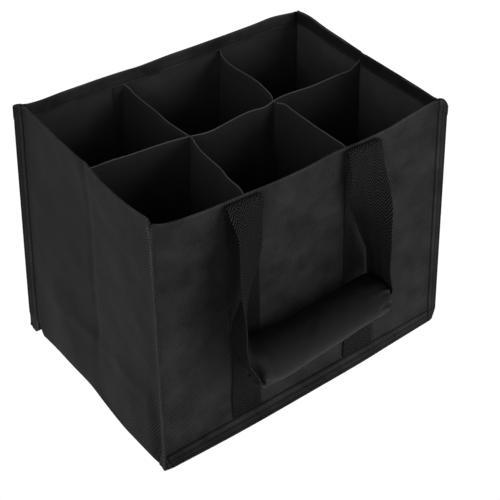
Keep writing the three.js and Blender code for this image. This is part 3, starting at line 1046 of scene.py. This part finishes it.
def strap_half(side, sign):
    """Functions that give a point of the strap for a position across its width, for half a loop."""
    half_width = STRAP_WIDTH / 2
    rows = []
    for z in even_steps(SEAM + 1.2, STRAP_FOLD[side], STRAP_STEP):
        rows.append(lambda u, z=z: sewn_point(side, sign, u, z, 0.0))
    for k in range(1, 6):
        angle = pi * k / 6
        lift = STRAP_RADIUS * (1 - cos(angle))
        top = STRAP_FOLD[side] + STRAP_RADIUS * sin(angle)
        rows.append(lambda u, lift=lift, top=top: sewn_point(side, sign, u, top, lift))
    for centre, across, wide in loose_centre_line(side, sign):
        reach = across * (half_width * wide)
        rows.append(lambda u, centre=centre, reach=reach: centre + reach * u)
    return rows


def make_webbing(side, node):
    left = strap_half(side, -1)
    right = strap_half(side, 1)
    rows = left + list(reversed(right))
    middle = len(left)
    lengths = [0.0]
    for before, after in zip(rows, rows[1:]):
        lengths.append(lengths[-1] + (after(0.0) - before(0.0)).length)

    def place(i, j):
        u = (2 * i / STRAP_ACROSS - 1) * (1 if j < middle else -1) * -side
        # the selvedges are paler, with wear and painted highlight
        wear_and_painted_light = 0.2 * smooth((abs(u) - 0.93) / 0.06)
        return rows[j](u), (i * STRAP_WIDTH / STRAP_ACROSS, lengths[j]), wear_and_painted_light

    piece = cloth_grid(f"handle_{node}", STRAP_ACROSS + 1, len(rows), place)
    thin = piece.vertex_groups.new(name="thickness")
    for vertex in piece.data.vertices:
        u = 2 * (vertex.index % (STRAP_ACROSS + 1)) / STRAP_ACROSS - 1
        thin.add([vertex.index], 1.0 - 0.45 * smooth((abs(u) - 0.9) / 0.1), "REPLACE")
    thicken(piece, STRAP_THICKNESS, vertex_group="thickness")
    return finish_piece(piece, webbing_cloth, "webbing", node)


for strap_side, strap_node in ((-1, "webbing_front"), (1, "webbing_back")):
    make_webbing(strap_side, strap_node)


# the padded grips

GRIP_START = -66.5
GRIP_END = 57.0
GRIP_LENGTH = GRIP_END - GRIP_START
GRIP_BACK = -95.3
# along the grip, from its fuller left end: where, the height of its middle, half its depth and
# half its height
GRIP_FORM = (
    (-61, 73.3, 18, 21), (-31.5, 73, 17.5, 21), (-2, 75.6, 17, 21),
    (27.5, 78.5, 16.6, 20.1), (50, 81.3, 16.8, 18.3), (57, 81.2, 16.9, 16.6),
)
MOUTH_LIP = 2.6
GRIP_AROUND = 96
# the stuffing under the skin starts a little smaller, and swells no further than the cap
PAD_PRESSURE = 15.0
PAD_CAP = 3.0
PAD_SMALLER = 0.4
PAD_STEPS = 20


def grip_form(x, k):
    return along_curve([(row[0], row[k]) for row in GRIP_FORM], x)


def grip_axis(x):
    return Vector((x, GRIP_BACK - 17.0, grip_form(x, 1)))


def mouth_start(angle):
    """How far left the grip begins: its mouth reaches furthest against the strap's front edge, and
    is cut back at its lower front corner."""
    against_strap = exp((cos(angle - 2.58) - 1) / 0.3)
    lower_corner = exp((cos(angle - 4.28) - 1) / 0.18)
    return GRIP_START + 2.0 * cos(angle) - 1.5 * sin(angle) - 6.3 * against_strap + 7.5 * lower_corner


def grip_ring(run, angle):
    """A point of the grip's skin: run is the length from the left mouth, and the angle is counted
    from the bag up and over. The left mouth is cut on a slant and drawn in against the strap."""
    c = cos(angle)
    s = sin(angle)
    x = mix(mouth_start(angle), GRIP_END, clamp01(run / GRIP_LENGTH))
    drawn = 1 - smooth(run / 15)
    below = smooth(-s)
    power = 2 / (2.3 + 0.5 * drawn * below)
    depth = grip_form(x, 2) * (1 - 0.3 * drawn)
    y = GRIP_BACK - depth + depth * copysign(abs(c) ** power, c)
    z = grip_form(x, 1) + grip_form(x, 3) * copysign(abs(s) ** power, s)
    z -= drawn * below * (2.0 + 7.5 * clamp01((GRIP_BACK - y) / 19))
    z -= 3.0 * exp(-(GRIP_LENGTH - run) / 6.0) * smooth(s)
    return Vector((x, y, z))


def grip_point(run, angle, inward):
    """inward is the depth below the skin."""
    point = grip_ring(run, angle)
    out = point - grip_axis(point.x)
    out.x = 0.0
    out.normalize()
    near_left = exp(-run / 8.0)
    near_right = exp(-(GRIP_LENGTH - run) / 7.0)
    pleat = near_right * (0.9 * cos(13 * angle + 0.6) + 0.5 * cos(21 * angle))
    pleat += near_left * smooth(-sin(angle)) * (0.8 * cos(14 * angle + 2.0) + 0.4 * cos(23 * angle))
    soft = 0.7 * ripple(run, angle * 18, 26, 31) + 0.4 * ripple(run, angle * 18, 10, 33)
    return point + out * (pleat + soft * smooth(run / 10) - inward)


def lay_grip(name, rings, place):
    """A tube laid ring by ring, with both ends drawn together to a point."""

    def lay(i, j):
        run, inward = rings[j]
        if j in (0, len(rings) - 1):
            return grip_axis(grip_ring(run, 0.0).x), (0.0, run), 0.0
        return place(run, 2 * pi * i / GRIP_AROUND, inward)

    piece = cloth_grid(name, GRIP_AROUND + 1, len(rings), lay)
    close_up(piece)
    return piece


def swell(piece):
    """Blows up a closed form like a stuffed sleeve, as cloth, and leaves the plain mesh."""
    select_only(piece)
    piece.data.remesh_voxel_size = 2.5 * MM
    bpy.ops.object.voxel_remesh()
    before = [vertex.co.copy() for vertex in piece.data.vertices]
    made = piece.modifiers.new("cloth", "CLOTH")
    stuff = made.settings
    stuff.quality = 6
    stuff.mass = 0.05
    stuff.tension_stiffness = stuff.compression_stiffness = 12
    stuff.bending_stiffness = 0.3
    stuff.use_pressure = True
    stuff.uniform_pressure_force = PAD_PRESSURE
    stuff.effector_weights.gravity = 0.0
    made.point_cache.frame_start = 1
    made.point_cache.frame_end = PAD_STEPS
    for number in range(1, PAD_STEPS + 1):
        bpy.context.scene.frame_set(number)
    select_only(piece)
    bpy.ops.object.modifier_apply(modifier=made.name)
    bpy.context.scene.frame_set(1)
    for vertex, start in zip(piece.data.vertices, before):
        moved = vertex.co - start
        if moved.length > PAD_CAP * MM:
            vertex.co = start + moved.normalized() * (PAD_CAP * MM)


def make_stuffing():
    """The swollen form that the skin of the front grip is drawn over."""
    rings = [(1.0, 17.0)] + [(run, PAD_SMALLER) for run in even_steps(1.0, GRIP_LENGTH - 1.0, 2.4)]
    rings += [(GRIP_LENGTH - 1.0, 17.0)]
    piece = lay_grip("grip_stuffing", rings, lambda *where: (grip_point(*where), (0, 0), 0.0))
    swell(piece)
    return piece


def make_grip(side, node, stuffing):
    lip = [(MOUTH_LIP, 9.0), (MOUTH_LIP, 5.0), (2.4, 2.4), (1.8, 2.1), (1.2, 1.9)]
    rim = [(0.4, 1.8), (0.0, 1.2), (0.0, 0.6), (0.5, 0.1), (1.4, 0.0), (2.6, 0.0)]
    rings = [(MOUTH_LIP, 17.0)] + lip + rim
    rings += [(run, 0.0) for run in even_steps(4.0, GRIP_LENGTH - 4.0, 2.0)]
    rings += [(GRIP_LENGTH - run, inward) for run, inward in reversed([(MOUTH_LIP, 14.0)] + lip + rim)]

    def place(run, angle, inward):
        end = min(run, GRIP_LENGTH - run)
        sewn = 0.35 * hump(end, 5.0, 0.7)
        # the mouths are paler with wear and painted highlight, and the lower left corner has a painted
        # highlight
        wear_and_painted_light = 0.55 * hump(end, 0, 3.0) * (inward < 1.5)
        corner = exp(-run / 9.0) * smooth(-sin(angle) + 0.2)
        return grip_point(run, angle, inward + sewn), (angle * 18.5, run), max(wear_and_painted_light, 0.5 * corner)

    piece = lay_grip(f"padded_{node}", rings, place)
    if stuffing:
        skin = piece.vertex_groups.new(name="skin")
        for vertex in piece.data.vertices:
            point = vertex.co / MM
            axis = grip_axis(point.x)
            angle = atan2(point.z - axis.z, point.y - axis.y)
            start = mouth_start(angle)
            run = clamp01((point.x - start) / (GRIP_END - start)) * GRIP_LENGTH
            weight = smooth((run - 9) / 16) * smooth((GRIP_LENGTH - run - 4) / 9)
            out = (point - grip_ring(run, angle)).length
            if weight > 0 and out < 6:
                skin.add([vertex.index], weight, "REPLACE")
        nearest = "NEAREST_SURFACEPOINT"
        apply_modifier(piece, "SHRINKWRAP", target=stuffing, wrap_method=nearest, vertex_group="skin")
    apply_modifier(piece, "SUBSURF", levels=1, render_levels=1)
    if side > 0:
        for vertex in piece.data.vertices:
            vertex.co = turned(side, vertex.co)
    finish_piece(piece, grip_cloth, "grip_cloth", node)
    return piece


stuffing = make_stuffing()
for grip_side, grip_node in ((-1, "grip_front"), (1, "grip_back")):
    make_grip(grip_side, grip_node, stuffing)
if stuffing:
    select_only(stuffing)
    bpy.ops.object.delete()


# the floor, the lights and the camera

FLOOR_GLOW = 0.17
FLOOR_MIRRORED = 0.33


def toward(azimuth, elevation):
    """The direction of an azimuth, counted from the front to the right, and an elevation."""
    a = radians(azimuth)
    e = radians(elevation)
    return Vector((sin(a) * cos(e), -cos(a) * cos(e), sin(e)))


def make_floor():
    """A plain white floor, dimmer for the light that it throws up than the camera sees it."""
    deselect_all()
    bpy.ops.mesh.primitive_plane_add(size=6, location=(0, 0, -0.0004))
    floor = bpy.context.object
    floor.name = "floor"
    material, tree, shader = new_material("pale_floor")
    ray = put(tree, "LightPath").outputs
    mirrored = FLOOR_MIRRORED - FLOOR_GLOW
    glow = calc(tree, "MULTIPLY_ADD", ray["Is Glossy Ray"], mirrored, FLOOR_GLOW)
    seen = calc(tree, "MULTIPLY", ray["Is Camera Ray"], 1.05)
    fill(tree, shader, {
        "Base Color": (0.0, 0.0, 0.0, 1.0), "Specular IOR Level": 0.0, "Roughness": 1.0,
        "Emission Color": WHITE, "Emission Strength": calc(tree, "MAXIMUM", glow, seen),
    })
    floor.data.materials.append(material)


ROOM_ROUND = 0.25
ROOM_ABOVE = 0.1


def make_world():
    """A pale room: bright round about, dimmer above, and plain white where the camera looks."""
    world = bpy.data.worlds.new("studio")
    bpy.context.scene.world = world
    world.use_nodes = True
    tree = world.node_tree
    tree.nodes.clear()
    where = put(tree, "TexCoord")
    up = put(tree, "SeparateXYZ", {0: where.outputs["Generated"]}).outputs[2]
    height = put(tree, "MapRange", {0: up, 1: 0.0, 2: 0.6, 3: ROOM_ROUND, 4: ROOM_ABOVE})
    room = put(tree, "Background", {0: WHITE, 1: height.outputs[0]})
    white = put(tree, "Background", {0: WHITE, 1: 1.0})
    seen = put(tree, "LightPath").outputs["Is Camera Ray"]
    joined = put(tree, "MixShader", {0: seen, 1: room.outputs[0], 2: white.outputs[0]})
    put(tree, "OutputWorld", {0: joined.outputs[0]})


def add_area(name, azimuth, elevation, distance, size, power, aim):
    """A soft square light that no shiny thing mirrors."""
    way = toward(azimuth, elevation)
    deselect_all()
    bpy.ops.object.light_add(type="AREA", location=Vector(aim) + way * distance)
    light = bpy.context.object
    light.name = name
    light.rotation_euler = way.to_track_quat("Z", "Y").to_euler()
    light.data.shape = "SQUARE"
    light.data.size = size
    light.data.energy = power
    light.visible_glossy = False


CAMERA_AZIMUTH = -36.88
CAMERA_ELEVATION = 36.32
CAMERA_ROLL = -0.34
CAMERA_DISTANCE = 1207.9
CAMERA_RIGHT = 12.22
CAMERA_UP = 59.4
FOCAL_PIXELS = 1430.8
FRAME_PIXELS = 500
SENSOR = 36.0


def add_camera():
    back = toward(CAMERA_AZIMUTH, CAMERA_ELEVATION)
    level = toward(CAMERA_AZIMUTH + 90, 0)
    roll = radians(CAMERA_ROLL)
    upright = back.cross(level)
    right = level * cos(roll) + upright * sin(roll)
    up = upright * cos(roll) - level * sin(roll)
    place = back * CAMERA_DISTANCE + right * CAMERA_RIGHT + up * CAMERA_UP + Vector((0, 0, SEAM))
    deselect_all()
    bpy.ops.object.camera_add(location=place * MM)
    camera = bpy.context.object
    camera.rotation_euler = Matrix((right, up, back)).transposed().to_euler()
    camera.data.sensor_width = SENSOR
    camera.data.lens = FOCAL_PIXELS / FRAME_PIXELS * SENSOR
    camera.data.clip_end = 20
    bpy.context.scene.camera = camera


make_floor()
make_world()
BAG_MIDDLE = (0, 0, 0.1)
add_area("key_light", azimuth=32, elevation=18, distance=1.6, size=0.9, power=8.0, aim=BAG_MIDDLE)
add_area("left_fill", azimuth=-68, elevation=25, distance=1.7, size=1.1, power=6.0, aim=BAG_MIDDLE)
add_camera()
bpy.context.scene.view_settings.view_transform = "Standard"
